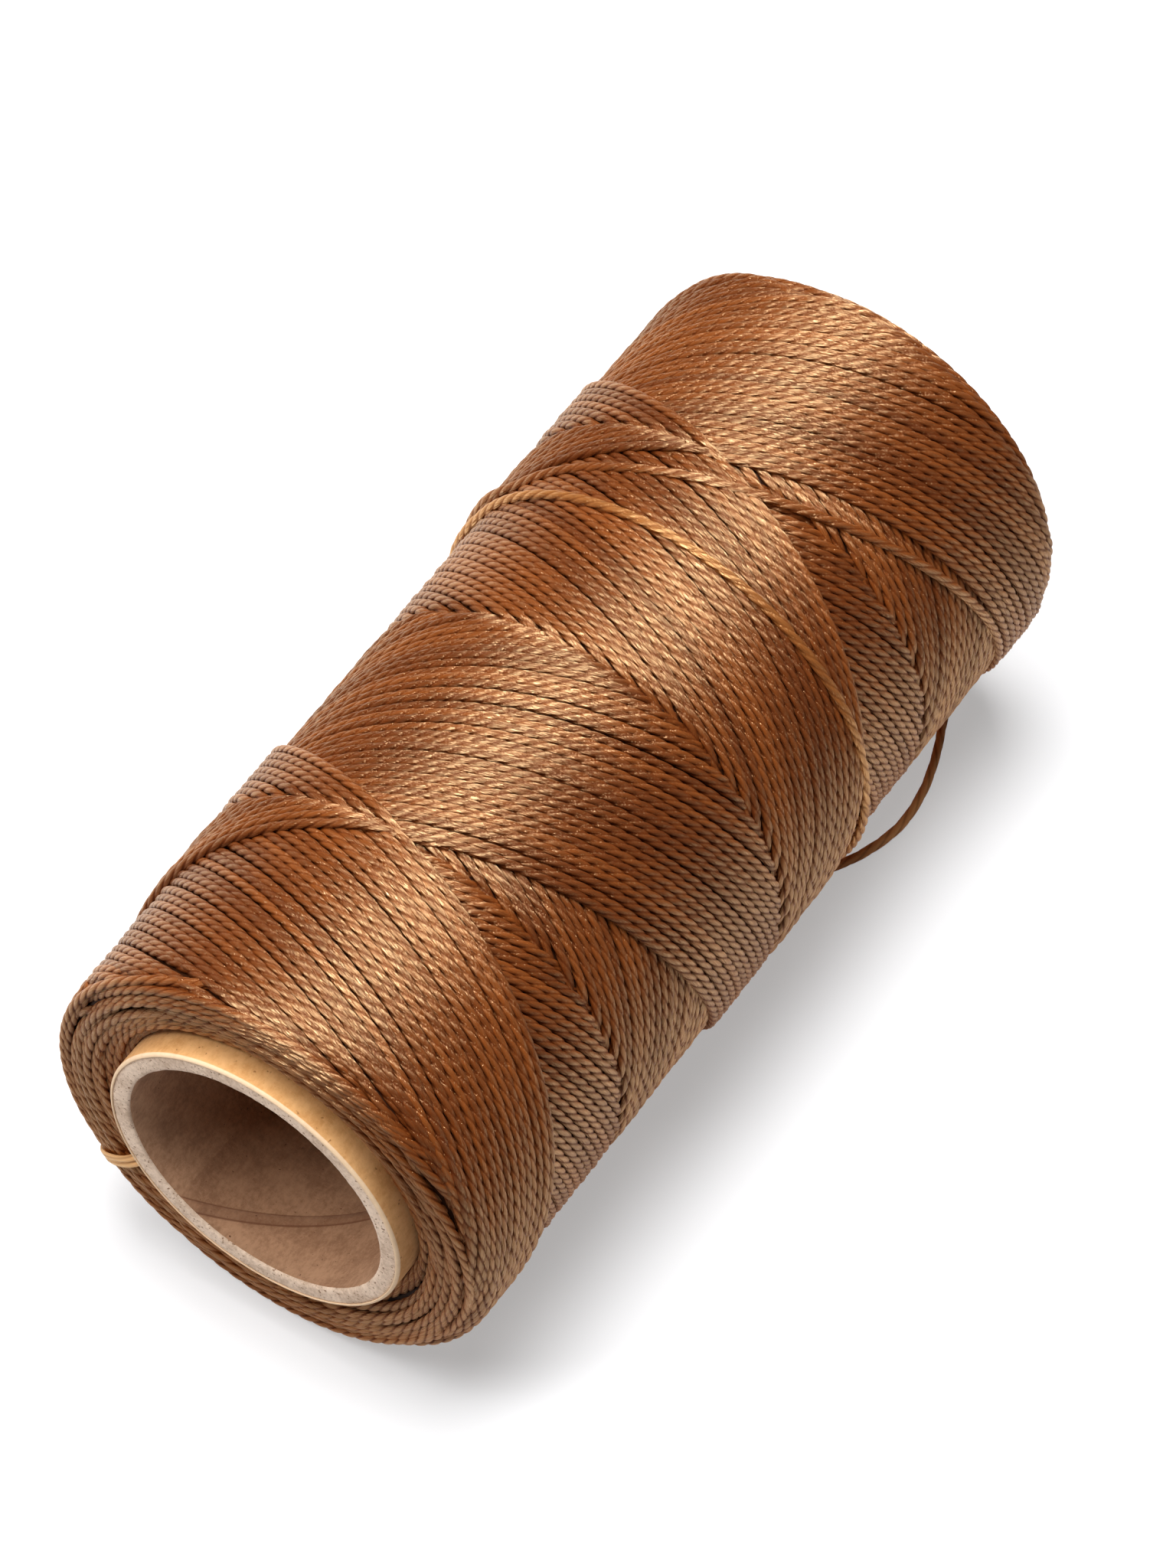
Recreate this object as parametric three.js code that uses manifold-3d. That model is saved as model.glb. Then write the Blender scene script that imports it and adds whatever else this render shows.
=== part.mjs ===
// A cross-wound package of waxed leatherworking thread on a spiral paper tube.
//
// Millimetres, +Z up. The spool lies on its side with its axis along X, and the
// origin is on the surface it lies on, under the middle of its length. Places on
// the package are given as x along the axis and an angle about it: 0 is +Y, 90 the
// top, 180 the -Y side and 270 the line it rests on.

import * as THREE from "three";
import { mergeVertices } from "three/addons/utils/BufferGeometryUtils.js";
import Module from "manifold-3d";

// ---- Driving dimensions ------------------------------------------------------

// Paper tube: four spiral plies glued on each other.
const TUBE_LENGTH = 107.6;
const TUBE_BORE = 28.6; // a little over the 1 1/8 inch mandrel it was wound on
const LINER_PLY = 0.35; // grey-brown kraft that shows in the bore
const BODY_PLY = 0.7; // chipboard, two of these
const WRAP_PLY = 0.35; // tan kraft on the outside
const RIM_RADIUS = 0.3; // round outer edge of the wrap at both ends
const GLUE_LINE = 0.05;
const STRIP_PITCH = 54; // how far a paper strip advances in one turn
const STRIP_JOINT = 0.4; // gap where the strip's edges meet
const LINER_JOINT_ANGLE = 304; // where the liner's joint starts at the near end
const JOINT_STAGGER = 137; // angle from one ply's joint to the next one's

// Thread package.
const PACKAGE_DIAMETER = 49;
const PACKAGE_LENGTH = 102.4;
const SHOULDER_RADIUS = 2.2; // round edge between the winding and its end faces
const THREAD = 1; // diameter of the three-ply waxed thread
const WIND_LEAD = 54; // advance of the thread in one turn of the package
const FIRST_PASS_ANGLE = 87; // where the newest threads cross, WIND_LEAD / 2 from the middle
const PASS_BUILD = 0.7; // how much one full set of parallel passes raises the surface
const RIDGES = 18; // in one turn, each for three passes that lie side by side
const RIDGE_DEPTH = 0.3;
const OUTER_BUILD = 3.6; // depth of the layers that show, over the buried ones
const REST_FLAT_ANGLE = 9; // half angle that the package's own weight has pressed flat

// Last strands, which lie on the package by themselves.
const LEAVING_ANGLE = 238; // where both leave the package for the floor
const FINISHING_WRAP = { backAngle: -30, top: 15.9, front: 15.2 };
const LAST_PASS = { backAngle: 8, back: 17.8, top: 23.6, front: 39.8 };
const STRAND_STEP = 2.6; // length of cord for each straight piece of it
const STRAND_POINTS = 32; // where a laid strand's height is taken

// Start of the thread, folded out over the near end face.
const START_TAIL_ANGLE = 322;
const START_TAIL_REACH = 3.5; // how far it runs along the package before it is buried
const START_TAIL_SPREAD = 1.5; // between the two strands of the fold, centre to centre

const SEAT = 0.3; // clearance where one piece lies on another

// Facets.
const SEGMENTS = 40; // around the package
const TUBE_SEGMENTS = 32; // around the tube
const JOINT_STEPS = 16; // in one turn of a strip joint
const CORD_SIDES = 8;
const SHOULDER_STEPS = 3;
const RIM_STEPS = 2;

// ---- Sizes that follow -------------------------------------------------------

const boreRadius = TUBE_BORE / 2;
const linerOuter = boreRadius + LINER_PLY;
const innerBodyInner = linerOuter + GLUE_LINE;
const innerBodyOuter = innerBodyInner + BODY_PLY;
const outerBodyInner = innerBodyOuter + GLUE_LINE;
const outerBodyOuter = outerBodyInner + BODY_PLY;
const wrapInner = outerBodyOuter + GLUE_LINE;
const tubeRadius = wrapInner + WRAP_PLY;

const packageRadius = PACKAGE_DIAMETER / 2;
const packageHalf = PACKAGE_LENGTH / 2;
const buriedInner = tubeRadius + SEAT;
const shellInner = packageRadius - OUTER_BUILD;
const buriedOuter = shellInner * Math.cos(Math.PI / SEGMENTS) - SEAT;
const axisHeight = packageRadius * Math.cos(THREE.MathUtils.degToRad(REST_FLAT_ANGLE));
const strandRadius = THREAD / 2;
const loopHeight = strandRadius + GLUE_LINE; // centre of a thread that lies on the floor

// The loose loop between the last pass and the finishing wrap, on the floor in
// front of the spool. Its ends start where those two strands leave the package.
const LOOP_ROUTE = [
  [46.9, -12.9, 2.2],
  [46.2, -15.0, 1.0],
  [44.6, -16.5, loopHeight],
  [42.4, -17.5, loopHeight],
  [39.2, -18.8, loopHeight],
  [34.5, -20.1, loopHeight],
  [29.6, -20.4, loopHeight],
  [24.9, -19.2, loopHeight],
  [21.3, -17.3, loopHeight],
  [18.4, -15.2, 1.0],
  [16.4, -12.9, 2.2],
];

// ---- Tools -------------------------------------------------------------------

const wasm = await Module();
wasm.setup();

const remainder = (value, period) => ((value % period) + period) % period;
const clamp = THREE.MathUtils.clamp;

/** A point of the spool at distance `r` from its axis. */
function aroundAxis(x, r, degrees) {
  const angle = THREE.MathUtils.degToRad(degrees);
  return new THREE.Vector3(x, r * Math.cos(angle), r * Math.sin(angle));
}

/** An indexed geometry from points and faces that list their corners' places. */
function geometryOf(points, faces) {
  const geometry = new THREE.BufferGeometry();
  geometry.setAttribute("position", new THREE.Float32BufferAttribute(points.flatMap((p) => p.toArray()), 3));
  geometry.setIndex(faces.flat());
  return geometry;
}

/** The same geometry with equal points joined and without the faces that this flattens. */
function welded(geometry) {
  const merged = mergeVertices(geometry);
  const index = Array.from(merged.index.array);
  const kept = [];
  for (let face = 0; face < index.length; face += 3) {
    const [a, b, c] = index.slice(face, face + 3);
    if (a !== b && b !== c && c !== a) kept.push(a, b, c);
  }
  merged.setIndex(kept);
  return merged;
}

/** A closed geometry as a solid that can be cut. */
function solidOf(geometry) {
  const bare = geometry.clone();
  bare.deleteAttribute("normal");
  bare.deleteAttribute("uv");
  const merged = mergeVertices(bare);
  return new wasm.Manifold(new wasm.Mesh({
    numProp: 3,
    vertProperties: new Float32Array(merged.attributes.position.array),
    triVerts: new Uint32Array(merged.index.array),
  }));
}

/** A cut solid as a geometry again. */
function geometryOfSolid(solid) {
  const { vertProperties, triVerts } = solid.getMesh();
  const geometry = new THREE.BufferGeometry();
  geometry.setAttribute("position", new THREE.BufferAttribute(vertProperties, 3));
  geometry.setIndex(new THREE.BufferAttribute(triVerts, 1));
  return geometry;
}

/** A ring about the spool's axis from a closed outline of [x, r] pairs. */
function turned(outline, segments) {
  const points = outline.map(([x, r]) => new THREE.Vector2(r, x));
  points.push(points[0].clone());
  const geometry = new THREE.LatheGeometry(points, segments);
  geometry.rotateZ(-Math.PI / 2);
  return geometry;
}

/** An open tube, as long as the paper tube, whose outer edges have the given radius. */
function plainTube(inner, outer, rimRadius) {
  const half = TUBE_LENGTH / 2;
  const steps = rimRadius ? RIM_STEPS : 0;
  const rim = [];
  for (let step = 0; step <= steps; step += 1) {
    const angle = steps ? (Math.PI / 2) * (step / steps) : 0;
    rim.push([half - rimRadius * (1 - Math.sin(angle)), outer - rimRadius * (1 - Math.cos(angle))]);
  }
  const farSide = [...rim, [half, inner]];
  const nearSide = farSide.map(([x, r]) => [-x, r]).reverse();
  return turned([...nearSide, ...farSide], TUBE_SEGMENTS);
}

// ---- Paper tube --------------------------------------------------------------

/** The narrow gap that runs around a ply as a helix, as a ribbon to cut away. */
function stripJoint(inner, outer, startAngle) {
  const turns = TUBE_LENGTH / STRIP_PITCH + 1; // half a turn beyond each end
  const steps = Math.ceil(turns * JOINT_STEPS);
  const points = [];
  for (let step = 0; step <= steps; step += 1) {
    const turn = (step / steps) * turns - 1 / 2;
    const x = -TUBE_LENGTH / 2 + turn * STRIP_PITCH;
    const angle = startAngle - turn * 360;
    points.push(
      aroundAxis(x - STRIP_JOINT / 2, inner - WRAP_PLY, angle),
      aroundAxis(x + STRIP_JOINT / 2, inner - WRAP_PLY, angle),
      aroundAxis(x + STRIP_JOINT / 2, outer + WRAP_PLY, angle),
      aroundAxis(x - STRIP_JOINT / 2, outer + WRAP_PLY, angle),
    );
  }
  const faces = [[0, 1, 2], [0, 2, 3]];
  for (let step = 0; step < steps; step += 1) {
    for (let side = 0; side < 4; side += 1) {
      const a = step * 4 + side;
      const b = step * 4 + ((side + 1) % 4);
      faces.push([a, b + 4, b], [a, a + 4, b + 4]);
    }
  }
  const last = steps * 4;
  faces.push([last, last + 2, last + 1], [last, last + 3, last + 2]);
  return geometryOf(points, faces);
}

/** One spiral ply: a tube whose strip edges meet in a helical butt joint. */
function spiralPly(inner, outer, startAngle, rimRadius = 0) {
  const joint = solidOf(stripJoint(inner, outer, startAngle));
  return geometryOfSolid(solidOf(plainTube(inner, outer, rimRadius)).subtract(joint));
}

// ---- Thread package ----------------------------------------------------------
//
// Two winds, in degrees, also give a place on the package. `along` grows by 360 in
// one lead along the axis and is 0 where the newest threads cross in the near half.
// `behind` is how far a place lies back from that crossing, about the axis. A thread
// that leans forward keeps the same behind + along, and one that leans back the same
// behind - along. That sum or difference is the thread's age.

const FORWARD = 1;
const BACK = -1;

const alongAt = (x) => (360 * (x + WIND_LEAD / 2)) / WIND_LEAD;
const xAt = (along) => (WIND_LEAD * along) / 360 - WIND_LEAD / 2;
const firstAlong = alongAt(SHOULDER_RADIUS - packageHalf);
const lastAlong = alongAt(packageHalf - SHOULDER_RADIUS);
const resting = remainder(FIRST_PASS_ANGLE + 90, 360); // how far behind the resting line lies

// The newest threads are edges where the surface steps down to the oldest ones. The
// edges of both leans cross every half turn and part the package into terraces. A
// terrace's threads lean forward up to its seam and back beyond it.
const seamOf = (terrace) => 180 * (terrace - 1);

/** Where the edges between the terraces lie, on the line at `behind`. */
function terraceEdges(behind) {
  const off = Math.min(behind, 360 - behind);
  return [-off, off, 360 - off, 360 + off];
}

/** Height of a terrace over the package's radius, on either side of the crossings. */
function terraceHeight(terrace, behind, pastHalf) {
  const layer = terrace % 2 ? 0 : 1;
  return PASS_BUILD * (1 - behind / 180 + (pastHalf ? layer : -layer));
}

/** The two fields of every terrace on one line: the stretches where one lean shows. */
function fieldsAt(behind, pastHalf) {
  const edges = terraceEdges(behind);
  const ends = [-Infinity, ...edges, Infinity];
  return ends.slice(1).flatMap((to, terrace) => {
    const seam = seamOf(terrace);
    const shared = { behind, pastHalf, seam, height: terraceHeight(terrace, behind, pastHalf) };
    return [
      { ...shared, lean: FORWARD, from: ends[terrace], to: seam },
      { ...shared, lean: BACK, from: seam, to },
    ];
  });
}

/** Radius of a field's surface, with a ridge for every few threads. */
function fieldRadius({ behind, height, lean }, along) {
  const share = remainder((RIDGES * (behind + lean * along)) / 360, 1);
  return packageRadius + height - RIDGE_DEPTH * Math.abs(2 * share - 1);
}

/** Where a field's ridges and grooves cross its line, kept inside the field. */
function ridgePlaces({ behind, pastHalf, seam, lean, from, to }) {
  const oldest = lean * seam - (pastHalf ? 0 : 180);
  const places = [];
  for (let line = 0; line <= 2 * RIDGES; line += 1) {
    const age = oldest + (line * 180) / RIDGES;
    places.push(lean * (age - behind));
  }
  const rising = lean === FORWARD ? places : places.reverse();
  return [from, ...rising, to].map((place) => clamp(clamp(place, from, to), firstAlong, lastAlong));
}

/** The field that shows where one that has run off the package would be. */
function shownField(field, fields) {
  if (field.to <= firstAlong) return fields.find(({ to }) => to > firstAlong);
  if (field.from >= lastAlong) return fields.findLast(({ from }) => from < lastAlong);
  return field;
}

/** The round edge beyond one end of the straight part, from the end face inwards. */
function shoulder([x, r], side) {
  const points = [];
  for (let step = 0; step < SHOULDER_STEPS; step += 1) {
    const angle = (Math.PI / 2) * (step / SHOULDER_STEPS);
    points.push([x + side * SHOULDER_RADIUS * Math.cos(angle), r - SHOULDER_RADIUS * (1 - Math.sin(angle))]);
  }
  return points;
}

/** The outline of the layers that show, on one line along the package. */
function shellLine(behind, pastHalf) {
  const degrees = FIRST_PASS_ANGLE - (behind % 360);
  const down = -Math.sin(THREE.MathUtils.degToRad(degrees));
  const floor = down > 0 ? axisHeight / down : Infinity;
  const pressed = Math.abs(behind - resting) <= REST_FLAT_ANGLE;
  const fields = fieldsAt(behind, pastHalf);
  const straight = fields.flatMap((field) => ridgePlaces(field)
    .map((along) => [xAt(along), pressed ? floor : fieldRadius(shownField(field, fields), along)]));
  const outline = [
    ...shoulder(straight[0], -1),
    ...straight,
    ...shoulder(straight[straight.length - 1], 1).reverse(),
    [packageHalf, shellInner],
    [-packageHalf, shellInner],
  ];
  return outline.map(([x, r]) => aroundAxis(x, Math.min(r, floor), degrees));
}

/** The lines that the ring is built on, with some on both edges of its resting flat. */
function shellLines() {
  const stops = [0, 180, 360, resting, resting - REST_FLAT_ANGLE, resting + REST_FLAT_ANGLE];
  stops.sort((a, b) => a - b);
  const lines = [0];
  stops.slice(1).forEach((stop, place) => {
    const from = stops[place];
    const steps = Math.ceil((stop - from) / (360 / SEGMENTS));
    for (let step = 1; step <= steps; step += 1) lines.push(from + ((stop - from) * step) / steps);
  });
  return lines;
}

/** The layers that show: a ring whose terraces and ridges follow the crossing passes. */
function outerLayers() {
  const points = [];
  const faces = [];
  [false, true].forEach((pastHalf) => {
    const lines = shellLines().filter((behind) => (pastHalf ? behind >= 180 : behind <= 180));
    lines.forEach((behind, row) => {
      const line = shellLine(behind, pastHalf);
      const here = points.length;
      const last = here - line.length;
      points.push(...line);
      for (let place = 0; row > 0 && place < line.length; place += 1) {
        const after = (place + 1) % line.length;
        faces.push([last + place, last + after, here + after], [last + place, here + after, here + place]);
      }
    });
  });
  return welded(geometryOf(points, faces));
}

/** Radius of the highest threads that a strand touches where it lies on the package. */
function restRadius(x, degrees) {
  const heights = [-THREAD, 0, THREAD].flatMap((aside) => [-STRAND_STEP, 0, STRAND_STEP].map((ahead) => {
    const turn = THREE.MathUtils.radToDeg(ahead / packageRadius);
    const behind = remainder(FIRST_PASS_ANGLE - degrees + turn, 360);
    const terrace = terraceEdges(behind).filter((edge) => edge <= alongAt(x + aside)).length;
    return terraceHeight(terrace, behind, behind >= 180);
  }));
  return packageRadius + Math.max(...heights);
}

/** The buried layers between the tube and the ones that show. */
function buriedLayers() {
  return turned([
    [-packageHalf, buriedInner],
    [-packageHalf, buriedOuter],
    [packageHalf, buriedOuter],
    [packageHalf, buriedInner],
  ], SEGMENTS);
}

// ---- Single strands ----------------------------------------------------------

/** A plain round cord through the points. */
function cord(points) {
  const path = new THREE.CatmullRomCurve3(points);
  const section = new THREE.Shape();
  for (let side = 0; side < CORD_SIDES; side += 1) {
    const angle = (2 * Math.PI * side) / CORD_SIDES;
    section[side ? "lineTo" : "moveTo"](strandRadius * Math.cos(angle), strandRadius * Math.sin(angle));
  }
  return new THREE.ExtrudeGeometry(section, {
    steps: Math.ceil(path.getLength() / STRAND_STEP),
    extrudePath: path,
  });
}

/** A strand laid on the package, through places of [angle, x]. */
function laidStrand(places) {
  const route = new THREE.CatmullRomCurve3(places.map(([degrees, x]) => new THREE.Vector3(degrees, x, 0)));
  return cord(route.getPoints(STRAND_POINTS).map(({ x: degrees, y: x }) => (
    aroundAxis(x, restRadius(x, degrees) + SEAT + strandRadius, degrees))));
}

/** The thread's last pass over the package, down to where the loop leaves it. */
function lastPass() {
  return laidStrand([
    [LAST_PASS.backAngle, LAST_PASS.back],
    [90, LAST_PASS.top],
    [180, LAST_PASS.front],
    [LEAVING_ANGLE, LOOP_ROUTE[0][0]],
  ]);
}

/** The almost straight turn that comes back up from the loop. */
function finishingWrap() {
  return laidStrand([
    [FINISHING_WRAP.backAngle, FINISHING_WRAP.top],
    [90, FINISHING_WRAP.top],
    [180, FINISHING_WRAP.front],
    [LEAVING_ANGLE, LOOP_ROUTE[LOOP_ROUTE.length - 1][0]],
  ]);
}

/** One strand of the folded start tail, from the tube over the near shoulder. */
function startStrand(side) {
  const clear = SEAT + strandRadius;
  const faceX = -packageHalf - clear;
  const edgeX = -packageHalf + SHOULDER_RADIUS;
  const edge = restRadius(edgeX, START_TAIL_ANGLE);
  const places = [
    [faceX, tubeRadius + clear],
    [faceX, (tubeRadius + edge) / 2],
    [faceX, edge - SHOULDER_RADIUS],
    [-packageHalf + SHOULDER_RADIUS / 3 - clear, edge - SHOULDER_RADIUS / 3 + clear],
    [edgeX, edge + clear],
    [edgeX + START_TAIL_REACH, restRadius(edgeX + START_TAIL_REACH, START_TAIL_ANGLE) + clear],
  ];
  const along = aroundAxis(0, START_TAIL_SPREAD / 2, START_TAIL_ANGLE + 90).multiplyScalar(side);
  return cord(places.map(([x, r]) => aroundAxis(x, r, START_TAIL_ANGLE).add(along)));
}

/** The loop of thread that lies on the floor. */
function looseLoop() {
  return cord(LOOP_ROUTE.map(([x, y, z]) => new THREE.Vector3(x, y, z - axisHeight)));
}

// ---- Assembly ----------------------------------------------------------------

const MATERIALS = {
  liner: { color: 0x4f3f33, roughness: 0.9, metalness: 0 },
  chipboard: { color: 0xa89a8b, roughness: 0.95, metalness: 0 },
  kraft: { color: 0xc39a78, roughness: 0.85, metalness: 0 },
  thread: { color: 0x8a4f2a, roughness: 0.5, metalness: 0 },
  goldenThread: { color: 0xa96a2c, roughness: 0.5, metalness: 0 },
};

const spool = new THREE.Group();

/** A named piece of the spool, in a colour of its own. */
function addPiece(name, geometry, material) {
  const mesh = new THREE.Mesh(geometry, new THREE.MeshStandardMaterial(MATERIALS[material]));
  mesh.name = name;
  spool.add(mesh);
}

const jointAngle = (ply) => LINER_JOINT_ANGLE + ply * JOINT_STAGGER;

addPiece("tube_liner", spiralPly(boreRadius, linerOuter, jointAngle(0)), "liner");
addPiece("tube_inner_ply", spiralPly(innerBodyInner, innerBodyOuter, jointAngle(1)), "chipboard");
addPiece("tube_outer_ply", spiralPly(outerBodyInner, outerBodyOuter, jointAngle(2)), "chipboard");
addPiece("tube_wrap", spiralPly(wrapInner, tubeRadius, jointAngle(3), RIM_RADIUS), "kraft");
addPiece("buried_layers", buriedLayers(), "thread");
addPiece("outer_layers", outerLayers(), "thread");
addPiece("last_pass", lastPass(), "thread");
addPiece("finishing_wrap", finishingWrap(), "goldenThread");
addPiece("start_strand_1", startStrand(-1), "goldenThread");
addPiece("start_strand_2", startStrand(1), "goldenThread");
addPiece("loose_loop", looseLoop(), "thread");

spool.position.z = axisHeight;

const group = new THREE.Group();
group.add(spool);

export default group;
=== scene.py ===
"""The looks of a cross-wound spool of waxed leatherworking thread on a paper tube.

The spool lies on its side with its axis along X and stands on z = 0. Places on the
package are given as x along the axis and an angle about it, in degrees: 0 is +Y, 90
the top, 180 the -Y side and 270 the line it rests on. All lengths are in metres.
"""

from __future__ import annotations

import itertools
import logging
import math
from dataclasses import dataclass, field
from enum import Enum
from typing import Any, Callable, Iterable, Sequence

import bmesh
import bpy
import numpy as np
from mathutils import Matrix, Vector, noise

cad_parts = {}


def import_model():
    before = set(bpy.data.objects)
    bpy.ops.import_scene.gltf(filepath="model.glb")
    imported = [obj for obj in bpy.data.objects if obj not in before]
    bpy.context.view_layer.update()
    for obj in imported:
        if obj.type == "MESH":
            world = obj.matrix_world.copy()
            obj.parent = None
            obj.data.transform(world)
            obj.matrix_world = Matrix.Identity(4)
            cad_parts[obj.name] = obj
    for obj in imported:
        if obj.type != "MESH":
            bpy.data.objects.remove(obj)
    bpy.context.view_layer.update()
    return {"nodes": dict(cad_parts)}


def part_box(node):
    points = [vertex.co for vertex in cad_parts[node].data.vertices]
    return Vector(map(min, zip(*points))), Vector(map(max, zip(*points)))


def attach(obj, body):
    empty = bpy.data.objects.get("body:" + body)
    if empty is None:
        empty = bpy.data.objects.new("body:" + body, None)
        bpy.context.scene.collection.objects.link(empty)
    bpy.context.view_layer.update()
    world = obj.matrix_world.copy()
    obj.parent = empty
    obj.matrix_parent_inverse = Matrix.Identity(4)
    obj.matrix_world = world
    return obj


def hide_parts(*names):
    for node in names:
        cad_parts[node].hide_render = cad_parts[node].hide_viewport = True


logging.basicConfig(level=logging.INFO, format="%(message)s")
log = logging.getLogger("spool")

Colour = tuple[float, float, float, float]
Point = tuple[float, float, float]

MM = 0.001
WELD = 1e-6  # points nearer than this are one

# Sizes that the solids' boxes don't give.
PACKAGE_RADIUS = 24.5 * MM
WIND_LEAD = 54 * MM  # advance of the thread in one turn of the package
STRIP_PITCH = 54 * MM  # advance of a paper strip in one turn of the tube
LINER_PLY = 0.35 * MM

# Where the two single strands lie: pairs of angle in degrees and x in millimetres.
FINISHING_WRAP = ((-30, 15.9), (30, 16.6), (90, 15.9), (180, 15.2), (238, 16.4))
LAST_PASS = ((8, 17.8), (45, 19.6), (90, 23.6), (180, 39.8), (238, 46.9))

# The loose loop's centreline, from where the last pass leaves the package to where
# the finishing wrap starts back up it. The solids follow the same points.
LOOP_ROUTE = [
    (0.0469, -0.0129, 0.0022),
    (0.0462, -0.0150, 0.0010),
    (0.0446, -0.0165, 0.00055),
    (0.0424, -0.0175, 0.00055),
    (0.0392, -0.0188, 0.00055),
    (0.0345, -0.0201, 0.00055),
    (0.0296, -0.0204, 0.00055),
    (0.0249, -0.0192, 0.00055),
    (0.0213, -0.0173, 0.00055),
    (0.0184, -0.0152, 0.0010),
    (0.0164, -0.0129, 0.0022),
]


# ---- Small tools -------------------------------------------------------------


def smooth(low: float, high: float, value: np.ndarray) -> np.ndarray:
    """A soft ramp over values, which is 0 below low and 1 above high."""
    t = np.clip((value - low) / (high - low), 0, 1)
    return t * t * (3 - 2 * t)


def distances(points: np.ndarray) -> np.ndarray:
    """How far each point of a polyline lies along it."""
    return np.concatenate([[0], np.cumsum(np.linalg.norm(np.diff(points, axis=0), axis=1))])


def resample(points: np.ndarray, step: float) -> np.ndarray:
    """Spaces points evenly along a polyline.

    Args:
        points: the polyline, one row a point.
        step: the wanted distance between points.

    Returns:
        The new points, first and last included.
    """
    along = distances(points)
    count = max(int(round(along[-1] / step)), 2)
    wanted = np.linspace(0, along[-1], count + 1)
    return np.stack([np.interp(wanted, along, points[:, i]) for i in range(3)], axis=1)


def spline_through(points: Sequence[Sequence[float]], count: int) -> np.ndarray:
    """A Catmull-Rom spline through given points, with centripetal knots.

    Args:
        points: the points to pass.
        count: how many points to put in each stretch.

    Returns:
        The line's points.
    """
    p = np.array(points, float)
    p = np.vstack([2 * p[0] - p[1], p, 2 * p[-1] - p[-2]])
    knots = np.concatenate([[0], np.cumsum(np.sqrt(np.linalg.norm(np.diff(p, axis=0), axis=1)))])
    made = []
    for first in range(len(p) - 3):
        k = knots[first : first + 4]
        t = np.linspace(k[1], k[2], count, endpoint=False)[:, None]
        row = list(p[first : first + 4])
        for low, high in (((0, 1, 2), (1, 2, 3)), ((0, 1), (2, 3)), ((1,), (2,))):
            shares = [(t - k[i]) / (k[j] - k[i]) for i, j in zip(low, high)]
            row = [one * (1 - share) + two * share for one, two, share in zip(row, row[1:], shares)]
        made.append(row[0])
    return np.vstack([*made, p[-2]])


def link(data: bpy.types.ID, name: str) -> bpy.types.Object:
    """Puts data into the scene as an object at the origin.

    Args:
        data: the mesh, curve, camera or light.
        name: the object's name.

    Returns:
        The object.
    """
    made = bpy.data.objects.new(name, data)
    bpy.context.scene.collection.objects.link(made)
    return made


def point_at(made: bpy.types.Object, place: Point, aim: Point) -> None:
    """Stands a camera or a lamp at a place and turns it, level, towards another."""
    view = Vector(aim) - Vector(place)
    made.matrix_world = Matrix.Translation(place) @ view.to_track_quat("-Z", "Y").to_matrix().to_4x4()


def sweep(
    points: Sequence[tuple[float, float]],
    steps: int,
    turns: int = 1,
    advance: float = 0.0,
    marks: Sequence[float] = (),
) -> bmesh.types.BMesh:
    """Turns an outline about the X axis: a closed one into a ring, an open one into a screw.

    Args:
        points: pairs of x and distance from the axis.
        steps: how many steps there are in each turn.
        turns: how often it goes round, below 0 for the other way.
        advance: how far a turn moves it along the axis, 0 for a ring.
        marks: the marking attribute at each point.

    Returns:
        A new bmesh with the surface.
    """
    work = bmesh.new()
    layer = work.verts.layers.float.new("marking") if marks else None
    verts = [work.verts.new((x, 0, r)) for x, r in points]
    for vert, mark in zip(verts, marks):
        vert[layer] = mark
    ends = verts[1:] if advance else verts[1:] + verts[:1]
    bmesh.ops.spin(
        work,
        geom=verts + [work.edges.new(pair) for pair in zip(verts, ends)],
        cent=(0, 0, 0),
        axis=(1, 0, 0),
        dvec=(advance / steps, 0, 0),
        angle=2 * math.pi * turns,
        steps=steps * abs(turns),
        use_merge=not advance,
        use_duplicate=False,
    )
    return work


def finish_mesh(work: bmesh.types.BMesh, name: str, material: bpy.types.Material) -> bpy.types.Object:
    """Turns a bmesh into a smooth object with merged doubles and outward faces.

    Args:
        work: the bmesh, which is freed.
        name: the object's name.
        material: its finish.

    Returns:
        The new object.
    """
    bmesh.ops.remove_doubles(work, verts=work.verts, dist=WELD)
    bmesh.ops.recalc_face_normals(work, faces=work.faces)
    mesh = bpy.data.meshes.new(name)
    work.to_mesh(mesh)
    work.free()
    mesh.shade_smooth()
    mesh.materials.append(material)
    return link(mesh, name)


# ---- Shader expressions ------------------------------------------------------


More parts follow.
